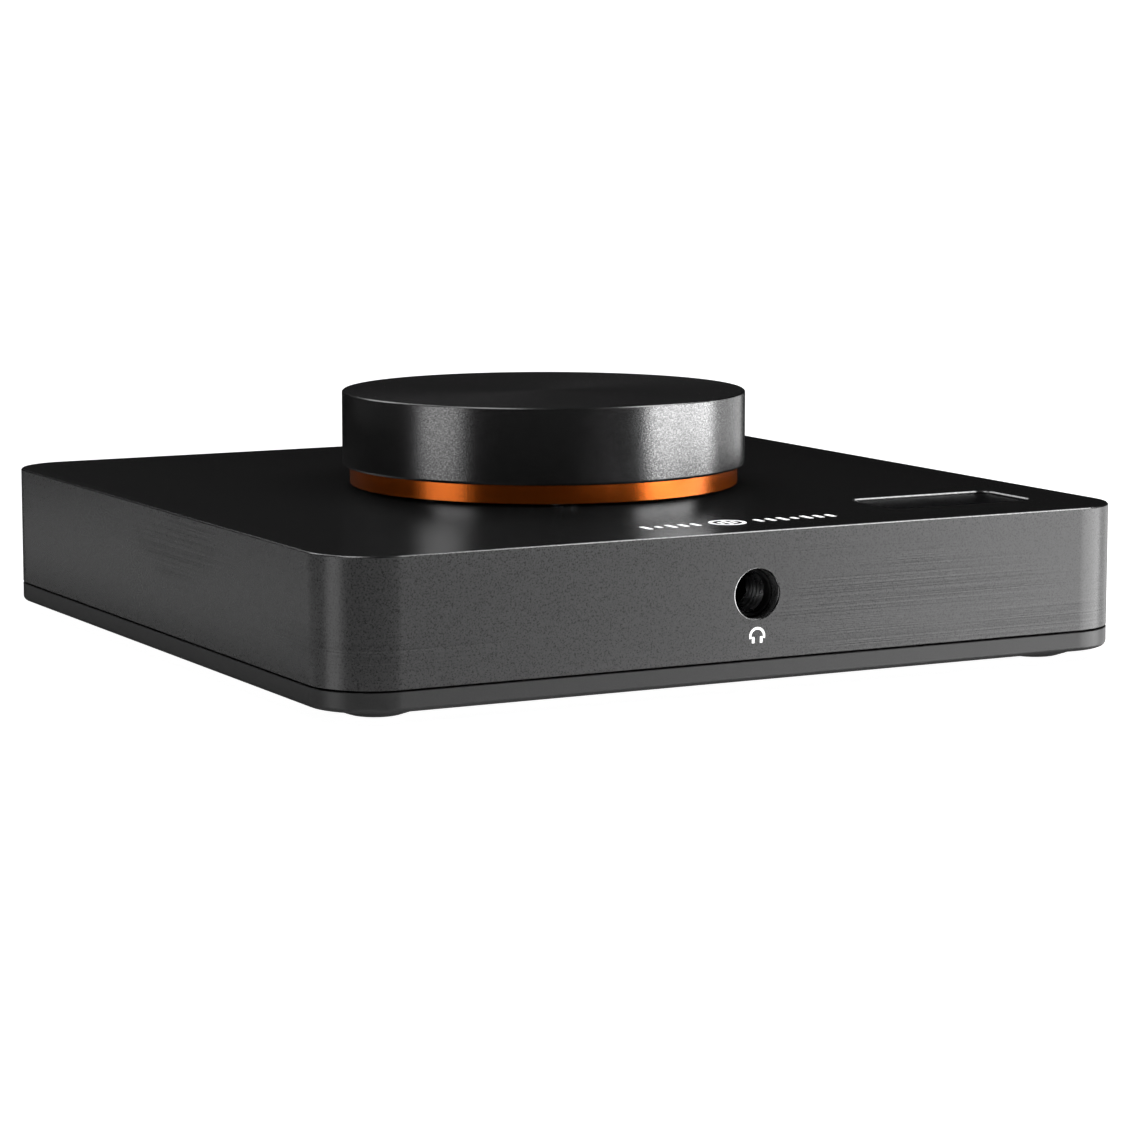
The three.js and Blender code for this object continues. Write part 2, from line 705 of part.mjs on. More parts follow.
function boardScrewPin(x, y) {
  const headBottom = pcbTop + GAP;
  const headTop = headBottom + boardScrew.headHeight;
  const pin = join(
    discUp(boardScrew.head, headBottom, headTop, x, y),
    discUp(boardScrew.shank, baseFloor + 1, headBottom + 0.5, x, y),
  );
  return cut(
    pin,
    blockAt(x, y, crossSlot.length, crossSlot.width, headTop - crossSlot.depth, headTop + OVER),
    blockAt(x, y, crossSlot.width, crossSlot.length, headTop - crossSlot.depth, headTop + OVER),
  );
}

// Name, centre x and y, width, depth and height of each part that stands on the main board.
const COMPONENTS = [
  ['converter_chip', 24, 22, 10, 10, 1.4],
  ['usb_receiver_chip', 38, 46, 9, 9, 1.2],
  ['headphone_amplifier_left', -16, -28, 6, 5, 1.6],
  ['headphone_amplifier_right', 16, -28, 6, 5, 1.6],
  ['output_relay', -26, -56, 15, 7.5, 9.5],
  ['voltage_regulator', 52, 30, 10, 9, 4.4],
];

function buildBoard() {
  add('main_board', mainBoard(), fibreBoard);
  for (const [place, sx, sy] of CORNERS) {
    const x = sx * pcb.screwX;
    const y = sy * pcb.screwY;
    add(`board_standoff_${place}`, boardStandoff(x, y), brass);
    add(`board_screw_${place}`, boardScrewPin(x, y), steel);
  }
  for (const [name, x, y, width, depth, height] of COMPONENTS) {
    add(name, blockAt(x, y, width, depth, partsFloor, partsFloor + height), chipBody);
  }
  for (const [side, y] of Object.entries(capacitor.y)) {
    const can = discUp(capacitor.radius, partsFloor, partsFloor + capacitor.height, capacitor.x, y);
    add(`filter_capacitor_${side}`, can, steel);
  }
}

buildCase();
buildControl();
buildDisplay();
buildJack();
buildRear();
buildBoard();

export default group;
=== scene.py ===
"""Looks of the desktop converter: fine meshes, procedural finishes, studio light and camera.

Everything is in metres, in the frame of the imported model. Sizes that the frame already holds are read
from it.
"""
import json
import math

import bmesh
import bpy
from mathutils import Matrix, Vector


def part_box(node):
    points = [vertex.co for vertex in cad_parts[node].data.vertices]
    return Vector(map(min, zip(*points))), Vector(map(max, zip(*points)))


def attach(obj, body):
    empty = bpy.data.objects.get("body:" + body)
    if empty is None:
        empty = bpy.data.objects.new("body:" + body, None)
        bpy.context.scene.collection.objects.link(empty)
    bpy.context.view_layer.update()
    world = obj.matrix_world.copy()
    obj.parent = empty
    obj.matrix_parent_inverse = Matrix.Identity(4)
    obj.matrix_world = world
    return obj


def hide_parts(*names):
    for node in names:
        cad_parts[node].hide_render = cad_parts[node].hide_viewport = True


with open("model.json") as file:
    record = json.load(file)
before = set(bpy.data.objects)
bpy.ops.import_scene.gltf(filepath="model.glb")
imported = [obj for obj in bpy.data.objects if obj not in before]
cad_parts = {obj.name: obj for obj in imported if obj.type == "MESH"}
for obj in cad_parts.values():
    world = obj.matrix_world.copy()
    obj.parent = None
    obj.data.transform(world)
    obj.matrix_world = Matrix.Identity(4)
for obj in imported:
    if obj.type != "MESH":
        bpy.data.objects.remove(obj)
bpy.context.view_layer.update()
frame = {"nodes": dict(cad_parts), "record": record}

MM = 0.001
CASE_CORNER = 11.5 * MM
WINDOW_CORNER = 2.5 * MM
WINDOW_FLANGE = 1.6 * MM
THIN_CHAMFER = 0.22 * MM
PRINT_THICKNESS = 0.02 * MM
SKIN_GRAIN = 3600  # noise scale of the finest texture on anodised metal
QUARTERS = ("front_left", "front_right", "rear_left", "rear_right")


def case_centre_y():
    """Middle of the case front to back, which isn't Y = 0, because the rear sockets stick out."""
    low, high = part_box("top_case")
    return (low.y + high.y) / 2


CASE_Y = case_centre_y()
KNOB_AXIS = (0, CASE_Y, 0)


# ---------------------------------------------------------------- camera, floor and light

def aim(obj, target):
    """Turns a light, where it stands, to look at target."""
    direction = Vector(target) - obj.location
    obj.rotation_euler = direction.to_track_quat("-Z", "Y").to_euler()


def add_camera():
    """The view of the photograph: long lens, a little above the top, from the front left corner."""
    data = bpy.data.cameras.new("camera")
    data.lens = 120.75
    data.sensor_width = 36
    data.clip_start = 0.01
    camera = bpy.data.objects.new("camera", data)
    bpy.context.scene.collection.objects.link(camera)
    from_case_centre = Vector((-322.2, -616.4, 108.4)) * MM
    camera.location = from_case_centre + Vector((0, CASE_Y, 0))
    yaw, pitch = 0.4867, -0.1367
    ahead = Vector((math.sin(yaw) * math.cos(pitch), math.cos(yaw) * math.cos(pitch), math.sin(pitch)))
    camera.rotation_euler = ahead.to_track_quat("-Z", "Y").to_euler()
    bpy.context.scene.camera = camera


def plain_mesh(name, vertices, faces):
    mesh = bpy.data.meshes.new(name)
    mesh.from_pydata([tuple(v) for v in vertices], [], faces)
    mesh.update()
    obj = bpy.data.objects.new(name, mesh)
    bpy.context.scene.collection.objects.link(obj)
    return obj


def stage_material(name, shade, glow_near, glow_far):
    """A pale surface whose own light grows from the object outwards, so that the horizon melts into white."""
    finish = Finish(name, (shade, shade, shade), 0.9, Specular_IOR_Level=0.0, Emission_Color=(1, 1, 1, 1))
    distance = finish.node("ShaderNodeVectorMath", operation="LENGTH")
    finish.link(finish.coords(), distance.inputs[0])
    nearest, farthest = 0.1, 0.7
    glow = finish.spread(distance.outputs["Value"], glow_near, glow_far, nearest, farthest)
    finish.link(glow, finish.bsdf.inputs["Emission Strength"])
    return finish.material


def add_stage():
    """A pale floor and a pale wall all round. Neither shows in the gloss of the metal."""
    reach, wall_foot, wall_top, steps = 12, -0.2, 8, 48
    wall_radius = reach * 0.7
    corners = [(-reach, -reach, 0), (reach, -reach, 0), (reach, reach, 0), (-reach, reach, 0)]
    floor = plain_mesh("floor", corners, [(0, 1, 2, 3)])
    floor.data.materials.append(stage_material("pale_floor", 0.5, 0.97, 1.05))
    angles = [i * math.tau / steps for i in range(steps)]
    ring = [(wall_radius * math.cos(a), wall_radius * math.sin(a)) for a in angles]
    wall = plain_mesh("wall", [(x, y, z) for z in (wall_foot, wall_top) for x, y in ring],
                      [(i, (i + 1) % steps, steps + (i + 1) % steps, steps + i) for i in range(steps)])
    wall.data.materials.append(stage_material("pale_wall", 0.0, 1.0, 1.05))
    for piece in (floor, wall):
        piece.visible_glossy = False
        piece.visible_shadow = False
    wall.visible_diffuse = False
    world = bpy.data.worlds.new("studio")
    bpy.context.scene.world = world
    world.use_nodes = True
    background = world.node_tree.nodes["Background"]
    background.inputs["Color"].default_value = (1, 1, 1, 1)
    background.inputs["Strength"].default_value = 0.003


def panel(name, place, target, width, height, radiance, soft=False):
    """A rectangular light at a place that faces a target. A soft one isn't mirrored in gloss."""
    data = bpy.data.lights.new(name, "AREA")
    data.shape = "RECTANGLE"
    data.size = width
    data.size_y = height
    data.energy = radiance * math.pi * width * height
    light = bpy.data.objects.new(name, data)
    bpy.context.scene.collection.objects.link(light)
    light.location = place
    aim(light, target)
    light.visible_camera = False
    light.visible_glossy = not soft


def softbox(name, azimuth, elevation, distance, width, height, radiance, soft=False):
    """A panel seen from the object in a direction.

    Azimuth is counted from +X towards +Y, and elevation up from level, both in degrees.
    """
    target = Vector((0, 0, 0.03))
    a, e = math.radians(azimuth), math.radians(elevation)
    offset = Vector((math.cos(e) * math.cos(a), math.cos(e) * math.sin(a), math.sin(e)))
    panel(name, target + distance * offset, target, width, height, radiance, soft)


def add_lights():
    """Each softbox is (name, azimuth, elevation, distance, width, height, radiance)."""
    softbox("key_right", 327.5, -10, 1.4, 1.28, 0.92, 5.6)
    softbox("key_feather", 296, -4, 1.5, 1.5, 1.0, 0.05)
    softbox("card_far_right", 11, -13, 1.4, 1.2, 0.55, 1.3)
    softbox("strip_left", 183, -5, 1.4, 0.66, 1.0, 1.45)
    softbox("overhead_edge", 345, 51, 1.4, 0.6, 0.6, 2.6)
    softbox("overhead_rear", 96, 46, 1.6, 0.9, 0.9, 1.5)
    softbox("overhead_left", 165, 72, 1.4, 0.5, 0.5, 1.2)
    softbox("rear_fill", 90, 8, 1.4, 1.2, 0.8, 2.2, soft=True)
    softbox("low_front", 236, -35, 1.0, 0.24, 0.24, 2.4)
    panel("front_fill", Vector((0, -0.09, 0.27)), Vector((0, -0.08, 0.03)), 0.3, 0.1, 7.0, soft=True)
    panel("bounce_left", Vector((-0.147, 0.12, -0.004)), Vector((-0.147, 0.12, 1)), 0.08, 0.3, 0.36)


# ---------------------------------------------------------------- mesh work

def rounded_outline(half_x, half_y, radius, steps):
    """Points of a rectangle with round corners, anticlockwise."""
    points = []
    for quarter, (sx, sy) in enumerate(((1, 1), (-1, 1), (-1, -1), (1, -1))):
        for step in range(steps + 1):
            angle = (quarter + step / steps) * math.pi / 2
            points.append((sx * (half_x - radius) + radius * math.cos(angle),
                           sy * (half_y - radius) + radius * math.sin(angle)))
    return points


def rounded_profile(corners, steps):
    """Corners are (x, y, fillet radius). Returns the open line with each fillet as an arc."""
    points = []
    for index, (x, y, radius) in enumerate(corners):
        if radius <= 0 or index in (0, len(corners) - 1):
            points.append((x, y))
            continue
        here = Vector((x, y))
        before = (Vector(corners[index - 1][:2]) - here).normalized()
        after = (Vector(corners[index + 1][:2]) - here).normalized()
        angle = before.angle(after)
        reach = radius / math.tan(angle / 2)
        centre = here + (before + after).normalized() * radius / math.sin(angle / 2)
        start, end = here + before * reach - centre, here + after * reach - centre
        sweep = start.angle(end)
        for step in range(steps + 1):
            t = step / steps
            arm = start * math.sin((1 - t) * sweep) + end * math.sin(t * sweep)
            points.append(tuple(centre + arm / math.sin(sweep)))
    return points


def stack(name, centre, half_x, half_y, radius, layers, steps):
    """A closed body of rounded rectangles. Layers are (inset, z) from the bottom up."""
    least_corner = 0.2 * MM
    vertices, faces = [], []
    for inset, z in layers:
        corner = max(radius - inset, least_corner)
        for x, y in rounded_outline(half_x - inset, half_y - inset, corner, steps):
            vertices.append((centre[0] + x, centre[1] + y, z))
    count = 4 * (steps + 1)
    for layer in range(len(layers) - 1):
        low, high = layer * count, (layer + 1) * count
        for i in range(count):
            j = (i + 1) % count
            faces.append((low + i, low + j, high + j, high + i))
    faces.append(tuple(reversed(range(count))))
    faces.append(tuple(range((len(layers) - 1) * count, len(layers) * count)))
    return plain_mesh(name, vertices, faces)


# How a turned body's radius, height, cosine and sine become a point, for each axis it can turn about.
AXES = {
    "Z": lambda r, h, c, s: (r * c, r * s, h),
    "Y": lambda r, h, c, s: (r * s, h, r * c),
}


def turned(name, profile, centre=(0, 0, 0), axis="Z", segments=128, closed=False):
    """A turned body from (radius, height) points.

    The profile either meets the axis at both ends or is closed.
    """
    on_axis = 1e-9
    vertices, faces, rows = [], [], []
    for radius, height in profile:
        if radius < on_axis:
            rows.append([len(vertices)] * segments)
            vertices.append(Vector(centre) + Vector(AXES[axis](0, height, 1, 0)))
            continue
        rows.append(list(range(len(vertices), len(vertices) + segments)))
        for i in range(segments):
            a = i * math.tau / segments
            vertices.append(Vector(centre) + Vector(AXES[axis](radius, height, math.cos(a), math.sin(a))))
    pairs = list(zip(rows, rows[1:])) + ([(rows[-1], rows[0])] if closed else [])
    for low, high in pairs:
        for i in range(segments):
            j = (i + 1) % segments
            face = [low[i], low[j], high[j], high[i]]
            face = [v for k, v in enumerate(face) if v != face[k - 1]]
            if len(face) > 2:
                faces.append(face)
    return plain_mesh(name, vertices, faces)


def prism(name, outline, transform, depth):
    """An outline of (x, y) points pushed from 0 to depth, then placed by a 4x4 matrix."""
    count = len(outline)
    vertices = [transform @ Vector((x, y, z)) for z in (0, depth) for x, y in outline]
    faces = [tuple(reversed(range(count))), tuple(range(count, 2 * count))]
    faces += [(i, (i + 1) % count, count + (i + 1) % count, count + i) for i in range(count)]
    return plain_mesh(name, vertices, faces)


def bake(obj):
    """Replaces obj's mesh by the result of its modifiers."""
    graph = bpy.context.evaluated_depsgraph_get()
    result = bpy.data.meshes.new_from_object(obj.evaluated_get(graph), depsgraph=graph)
    obj.modifiers.clear()
    obj.data = result
    return obj


def face_out(obj):
    """Turns every face of a closed mesh to look outwards."""
    work = bmesh.new()
    work.from_mesh(obj.data)
    bmesh.ops.recalc_face_normals(work, faces=work.faces)
    work.to_mesh(obj.data)
    work.free()
    return obj


def combine(obj, others, operation):
    """Works the other bodies into obj one by one, and removes them."""
    face_out(obj)
    for other in others:
        face_out(other)
        modifier = obj.modifiers.new("combine", "BOOLEAN")
        modifier.operation = operation
        modifier.solver = "EXACT"
        modifier.object = other
        bake(obj)
        bpy.data.objects.remove(other)
    return obj


def cut(obj, *tools):
    return combine(obj, tools, "DIFFERENCE")


def fuse(obj, *others):
    return combine(obj, others, "UNION")


def smooth(obj, sharp_degrees=32):
    """Smooth shading with hard edges kept, and large faces kept flat by weighted normals."""
    weld, sliver = 1e-7, 1e-8
    work = bmesh.new()
    work.from_mesh(obj.data)
    bmesh.ops.remove_doubles(work, verts=work.verts, dist=weld)
    bmesh.ops.dissolve_degenerate(work, edges=work.edges, dist=sliver)
    bmesh.ops.recalc_face_normals(work, faces=work.faces)
    for face in work.faces:
        face.smooth = True
    limit = math.radians(sharp_degrees)
    for edge in work.edges:
        edge.smooth = edge.is_manifold and edge.calc_face_angle(0) < limit
    work.to_mesh(obj.data)
    work.free()
    modifier = obj.modifiers.new("normals", "WEIGHTED_NORMAL")
    modifier.keep_sharp = True
    modifier.weight = 100
    return bake(obj)


# ---------------------------------------------------------------- finishes

class Finish:
    """A Principled material whose colour, roughness and bump come from procedural nodes."""

    def __init__(self, name, colour, roughness, metallic=0.0, **settings):
        self.material = bpy.data.materials.new(name)
        self.material.use_nodes = True
        self.tree = self.material.node_tree
        self.bsdf = self.tree.nodes["Principled BSDF"]
        self.set("Base Color", (*colour, 1))
        self.set("Roughness", roughness)
        self.set("Metallic", metallic)
        for key, value in settings.items():
            self.set(key.replace("_", " "), value)
        self.last_bump = None

    def set(self, socket, value):
        self.bsdf.inputs[socket].default_value = value

    def node(self, kind, **settings):
        made = self.tree.nodes.new(kind)
        for key, value in settings.items():
            setattr(made, key, value)
        return made

    def link(self, output, socket):
        self.tree.links.new(output, socket)

    def coords(self, stretch=(1, 1, 1), turn_about=None):
        """Object coordinates, stretched.

        With turn_about they are (radius, angle, height) about the upright axis through that point.
        """
        source = self.node("ShaderNodeTexCoord").outputs["Object"]
        if turn_about:
            shift = self.node("ShaderNodeVectorMath", operation="SUBTRACT")
            shift.inputs[1].default_value = turn_about
            self.link(source, shift.inputs[0])
            split = self.node("ShaderNodeSeparateXYZ")
            self.link(shift.outputs[0], split.inputs[0])
            angle = self.node("ShaderNodeMath", operation="ARCTAN2")
            self.link(split.outputs["Y"], angle.inputs[0])
            self.link(split.outputs["X"], angle.inputs[1])
            flat = self.node("ShaderNodeCombineXYZ")
            self.link(split.outputs["X"], flat.inputs["X"])
            self.link(split.outputs["Y"], flat.inputs["Y"])
            length = self.node("ShaderNodeVectorMath", operation="LENGTH")
            self.link(flat.outputs[0], length.inputs[0])
            join = self.node("ShaderNodeCombineXYZ")
            self.link(length.outputs["Value"], join.inputs["X"])
            self.link(angle.outputs[0], join.inputs["Y"])
            self.link(split.outputs["Z"], join.inputs["Z"])
            source = join.outputs[0]
        mapping = self.node("ShaderNodeMapping")
        mapping.inputs["Scale"].default_value = stretch
        self.link(source, mapping.inputs["Vector"])
        return mapping.outputs["Vector"]

    def noise(self, vector, scale=1.0, detail=2.0, roughness=0.5):
        made = self.node("ShaderNodeTexNoise")
        made.inputs["Scale"].default_value = scale
        made.inputs["Detail"].default_value = detail
        made.inputs["Roughness"].default_value = roughness
        self.link(vector, made.inputs["Vector"])
        return made.outputs["Fac"]

    def spread(self, value, low, high, from_low=0.3, from_high=0.7):
        """Maps the middle of a noise value to the range low to high."""
        made = self.node("ShaderNodeMapRange")
        made.inputs["From Min"].default_value = from_low
        made.inputs["From Max"].default_value = from_high
        made.inputs["To Min"].default_value = low
        made.inputs["To Max"].default_value = high
        self.link(value, made.inputs["Value"])
        return made.outputs["Result"]

    def maths(self, operation, first, second):
        made = self.node("ShaderNodeMath", operation=operation)
        self.link(first, made.inputs[0])
        self.link(second, made.inputs[1])
        return made.outputs[0]

    def times(self, first, second):
        return self.maths("MULTIPLY", first, second)

    def plus(self, first, second):
        return self.maths("ADD", first, second)

    def colour_between(self, value, low, high, from_low=0.3, from_high=0.7):
        ramp = self.node("ShaderNodeValToRGB")
        ramp.color_ramp.elements[0].position = from_low
        ramp.color_ramp.elements[0].color = (*low, 1)
        ramp.color_ramp.elements[1].position = from_high
        ramp.color_ramp.elements[1].color = (*high, 1)
        self.link(value, ramp.inputs["Fac"])
        self.link(ramp.outputs["Color"], self.bsdf.inputs["Base Color"])

    def roughness_from(self, value):
        self.link(value, self.bsdf.inputs["Roughness"])

    def bump(self, height, distance, strength=1.0):
        made = self.node("ShaderNodeBump")
        made.inputs["Distance"].default_value = distance
        made.inputs["Strength"].default_value = strength
        self.link(height, made.inputs["Height"])
        if self.last_bump:
            self.link(self.last_bump, made.inputs["Normal"])
        self.last_bump = made.outputs["Normal"]
        self.link(self.last_bump, self.bsdf.inputs["Normal"])


def shade_between(colour, low, high):
    return tuple(c * low for c in colour), tuple(c * high for c in colour)


def blasted(name, colour, roughness, ior=1.5, lines=0.0, grit=1.0, **settings):
    """Blasted and anodised aluminium: a dull dyed layer with sparkling grain under a satin skin.

    Faint milling lines run level round the sides, and come and go.
    """
    finish = Finish(name, colour, roughness, metallic=0.25, IOR=ior, **settings)
    grain = finish.noise(finish.coords(), 3300, 3.0, 0.7)
    low, high = shade_between(colour, 1 - 0.5 * grit, 1 + 0.8 * grit)
    tone = grain
    if lines:
        streaks = finish.spread(finish.noise(finish.coords((9, 9, 5200)), 1, 1), -1, 1)
        patches = finish.spread(finish.noise(finish.coords((14, 14, 60)), 1, 2), 0, 0.06 * lines, 0.5, 0.62)
        scratches = finish.times(streaks, patches)
        tone = finish.plus(grain, scratches)
        finish.bump(scratches, 0.2 * MM, 0.6)
    finish.colour_between(tone, low, high, 0.36, 0.66)
    finish.roughness_from(finish.spread(grain, roughness - 0.03, roughness + 0.05))
    finish.bump(finish.noise(finish.coords(), SKIN_GRAIN, 2), 0.012 * MM, 0.6 * grit)
    return finish.material


def turned_metal(name, colour, roughness, metallic, stretch, rings, grain, relief, marks=0.0, **settings):
    """Turned and anodised metal. Its gloss spreads across the turning marks, which run round the Z axis."""
    finish = Finish(name, colour, roughness, metallic,
                    Anisotropic=stretch, Anisotropic_Rotation=0.25, **settings)
    tangent = finish.node("ShaderNodeTangent", direction_type="RADIAL", axis="Z")
    finish.link(tangent.outputs["Tangent"], finish.bsdf.inputs["Tangent"])
    speck = finish.noise(finish.coords((1, 1, 1.6)), 2700, 3, 0.7)
    low, high = shade_between(colour, 1 - 0.3 * grain, 1 + 0.4 * grain)
    finish.colour_between(speck, low, high, 0.36, 0.66)
    finish.bump(finish.noise(finish.coords(), SKIN_GRAIN, 2), relief * MM, 0.6)
    finish.bump(finish.noise(finish.coords((4200, 0.3, 3200), KNOB_AXIS), 1, 1), 0.003 * MM, rings)
    if marks:
        finish.bump(finish.noise(finish.coords((0, 160, 8), KNOB_AXIS), 1, 2, 0.6), 0.012 * MM, marks)
    return finish.material


def cut_edge(name, colour, roughness):
    """A chamfer cut after blasting, so that bare turned metal shows."""
    finish = Finish(name, colour, roughness, metallic=1.0)
    nicks = finish.noise(finish.coords(), 2400, 3)
    low, high = shade_between(colour, 0.75, 1.2)
    finish.colour_between(nicks, low, high)
    finish.bump(finish.noise(finish.coords((900, 900, 9000)), 1, 2), 0.003 * MM, 0.4)
    return finish.material


def plastic(name, colour, roughness, texture=1.0, **settings):
    """Moulded plastic, rubber or print with a fine even texture."""
    finish = Finish(name, colour, roughness, **settings)
    speck = finish.noise(finish.coords(), 1800, 3)
    low, high = shade_between(colour, 0.88, 1.12)
    finish.colour_between(speck, low, high)
    finish.roughness_from(finish.spread(speck, roughness * 0.9, min(roughness * 1.12, 1)))
    finish.bump(finish.noise(finish.coords(), 5200, 2), 0.01 * MM, 0.3 * texture)
    return finish.material


def plated(name, colour, roughness):
    """Bare or plated metal, a little smeared."""
    finish = Finish(name, colour, roughness, metallic=1.0)
    smear = finish.noise(finish.coords((400, 400, 400)), 1, 3)
    low, high = shade_between(colour, 0.9, 1.06)
    finish.colour_between(smear, low, high)
    finish.roughness_from(finish.spread(smear, roughness * 0.75, roughness * 1.3))
    finish.bump(finish.noise(finish.coords((900, 9000, 900)), 1, 2), 0.003 * MM, 0.35)
    return finish.material


def circuit_board(name):
    """Green solder mask with faint copper tracks beneath it."""
    finish = Finish(name, (0.01, 0.07, 0.03), 0.38)
    tracks = finish.node("ShaderNodeTexBrick", offset=0.37, squash=1.6, squash_frequency=3)
    tracks.inputs["Scale"].default_value = 260
    tracks.inputs["Mortar Size"].default_value = 0.012
    tracks.inputs["Color1"].default_value = (0.006, 0.055, 0.024, 1)
    tracks.inputs["Color2"].default_value = (0.008, 0.072, 0.03, 1)
    tracks.inputs["Mortar"].default_value = (0.02, 0.15, 0.06, 1)
    finish.link(finish.coords(), tracks.inputs["Vector"])
    finish.link(tracks.outputs["Color"], finish.bsdf.inputs["Base Color"])
    finish.bump(tracks.outputs["Fac"], 0.02 * MM, 0.5)
    return finish.material


FINISHES = {
    "case_metal": blasted("case_metal", (0.047, 0.047, 0.0474), 0.28, 1.53, lines=1.6, grit=0.7),
    # The top of the case and the walls of the display opening take a darker copy of the case finish: painted
    # shade, so that they read dark.
    "case_top_painted_shade": blasted("case_top_painted_shade", (0.018, 0.018, 0.0182), 0.21, 2.0, grit=0.3,
                        Coat_Weight=1.0, Coat_Roughness=0.21, Coat_IOR=1.9),
    "case_chamfer": cut_edge("case_chamfer", (0.36, 0.36, 0.362), 0.26),
    "base_metal": blasted("base_metal", (0.04, 0.04, 0.0402), 0.36, 1.45, grit=0.12),
    "knob_metal": turned_metal("knob_metal", (0.16, 0.16, 0.161), 0.25, metallic=0.92, stretch=0.5,
                               rings=0.5, grain=1.25, relief=0.03),
    "knob_chamfer": cut_edge("knob_chamfer", (0.3, 0.3, 0.302), 0.26),
    "button_metal": blasted("button_metal", (0.06, 0.06, 0.0605), 0.3),
    "orange_metal": turned_metal("orange_metal", (1.0, 0.2, 0.012), 0.22, metallic=0.76, stretch=0.1,
                                 rings=0.2, grain=0.25, relief=0.006, marks=1.0,
                                 Coat_Weight=0.25, Coat_Roughness=0.18, Coat_IOR=1.5),
    "foot_rubber": plastic("foot_rubber", (0.018, 0.018, 0.018), 0.75, 1.6),
    "black_screw": plated("black_screw", (0.05, 0.05, 0.052), 0.35),
    "plated_steel": plated("plated_steel", (0.62, 0.62, 0.63), 0.24),
    # A darker, slightly rougher copy of the plated steel, for the ribbed sleeve deep in the headphone hole:
    # painted shade.
    "dull_steel_painted_shade": plated("dull_steel_painted_shade", (0.4, 0.4, 0.405), 0.3),
    "gold_plate": plated("gold_plate", (0.86, 0.6, 0.22), 0.2),
    "white_plastic": plastic("white_plastic", (0.75, 0.75, 0.73), 0.35),
    "red_plastic": plastic("red_plastic", (0.5, 0.02, 0.02), 0.35),
    "smoked_window": plastic("smoked_window", (0.004, 0.004, 0.0045), 0.3, 0.05, Specular_IOR_Level=0.1),
    "black_plastic": plastic("black_plastic", (0.016, 0.016, 0.017), 0.5),
    # A darker copy of the black plastic, for the headphone socket: painted shade inside the hole.
    "socket_black_painted_shade": plastic("socket_black_painted_shade", (0.006, 0.006, 0.0063), 0.6),
    # The white print also glows a little of its own: painted light, so that it reads bright at a grazing
    # view.
    "white_print_painted_glow": plastic("white_print_painted_glow", (0.85, 0.85, 0.85), 0.6, 0.5,
                           Emission_Color=(1, 1, 1, 1), Emission_Strength=0.6),
    "circuit_board": circuit_board("circuit_board"),
    "chip_plastic": plastic("chip_plastic", (0.02, 0.02, 0.021), 0.55, 1.5),
    "capacitor_can": plated("capacitor_can", (0.55, 0.55, 0.57), 0.3),
}


def finish_faces(obj, choices):
    """Choices are (finish, test of a face).

    A face takes the first that fits, and the last choice has no test.
    """
    obj.data.materials.clear()
    for finish, _ in choices:
        obj.data.materials.append(FINISHES[finish])
    for face in obj.data.polygons:
        face.material_index = next(i for i, (_, test) in enumerate(choices) if test is None or test(face))
    return obj


def place(obj, body, finish, slot, *nodes):
    """Gives a finished mesh its material and its place in the moving tree."""
    if not obj.data.materials:
        obj.data.materials.append(FINISHES[finish])
    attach(obj, body)
    if nodes:
        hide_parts(*nodes)
    return obj


# ---------------------------------------------------------------- case

def build_case():
    low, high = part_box("top_case")
    half = (high.x - low.x) / 2
    wall, roof = 3 * MM, 3 * MM
    soft = 0.12 * MM
    centre = (0, CASE_Y)
    edge = rounded_profile([
        (1 * MM, low.z, 0),
        (0, low.z, soft),
        (0, high.z - THIN_CHAMFER, soft),
        (THIN_CHAMFER, high.z, soft),
        (2 * MM, high.z, 0),
    ], 3)
    case = stack("case_shell", centre, half, half, CASE_CORNER, edge, 32)
    hollow = stack("hollow", centre, half - wall, half - wall, CASE_CORNER - wall,
                   [(0, low.z - 1 * MM), (0, high.z - roof)], 12)
    cut(case, hollow)
    cut(case, *case_tools(low, high))
    smooth(case)
    rim = high.z - THIN_CHAMFER
    window_foot = high.z - 3.1 * MM
    finish_faces(case, [
        ("case_chamfer", lambda face: face.center.z > rim - 0.02 * MM and 0.3 < face.normal.z < 0.95),
        ("case_chamfer", lambda face: is_socket_flare(face, low.y)),
        # The walls of the display opening and the top take the darker copy: painted shade.
        ("case_top_painted_shade", lambda face: face.center.z > window_foot and is_window_wall(face)),
        ("case_top_painted_shade", lambda face: face.center.z > rim and face.normal.z > 0.9),
        ("case_metal", None),
    ])
    place(case, "root", "case_metal", "case_metal", "top_case")


def is_window_wall(face):
    """True for the upright walls of the display opening."""
    low, high = window_opening()
    inside = low.x - MM < face.center.x < high.x + MM and low.y - MM < face.center.y < high.y + MM
    return inside and abs(face.normal.z) < 0.1


def is_socket_flare(face, front):
    """True for the rounded edge of the headphone hole."""
    inner, outer, depth = 4.1 * MM, 4.7 * MM, 0.4 * MM
    reach = math.hypot(face.center.x, face.center.z - port_height())
    return face.center.y < front + depth and inner < reach < outer and -0.98 < face.normal.y < -0.1


def through_hole(name, x, z, radius, y_inside, y_face, flare=0.3 * MM):
    """A cutter along Y for a round hole whose outer edge is rounded over."""
    out = 1 if y_face > y_inside else -1
    y_end = y_face + 0.35 * out * flare
    profile = rounded_profile([
        (0, y_inside, 0),
        (radius, y_inside, 0),
        (radius, y_face - 0.25 * out * flare, flare),
        (radius + 2 * flare, y_end, 0),
        (0, y_end, 0),
    ], 6)
    return turned(name, profile, (x, 0, z), "Y", 96)


def laid_down(x, z):
    """The matrix that lays an upright body down, so that its Z becomes Y, and moves it to (x, z)."""
    return Matrix(((1, 0, 0, x), (0, 0, 1, 0), (0, 1, 0, z), (0, 0, 0, 1)))


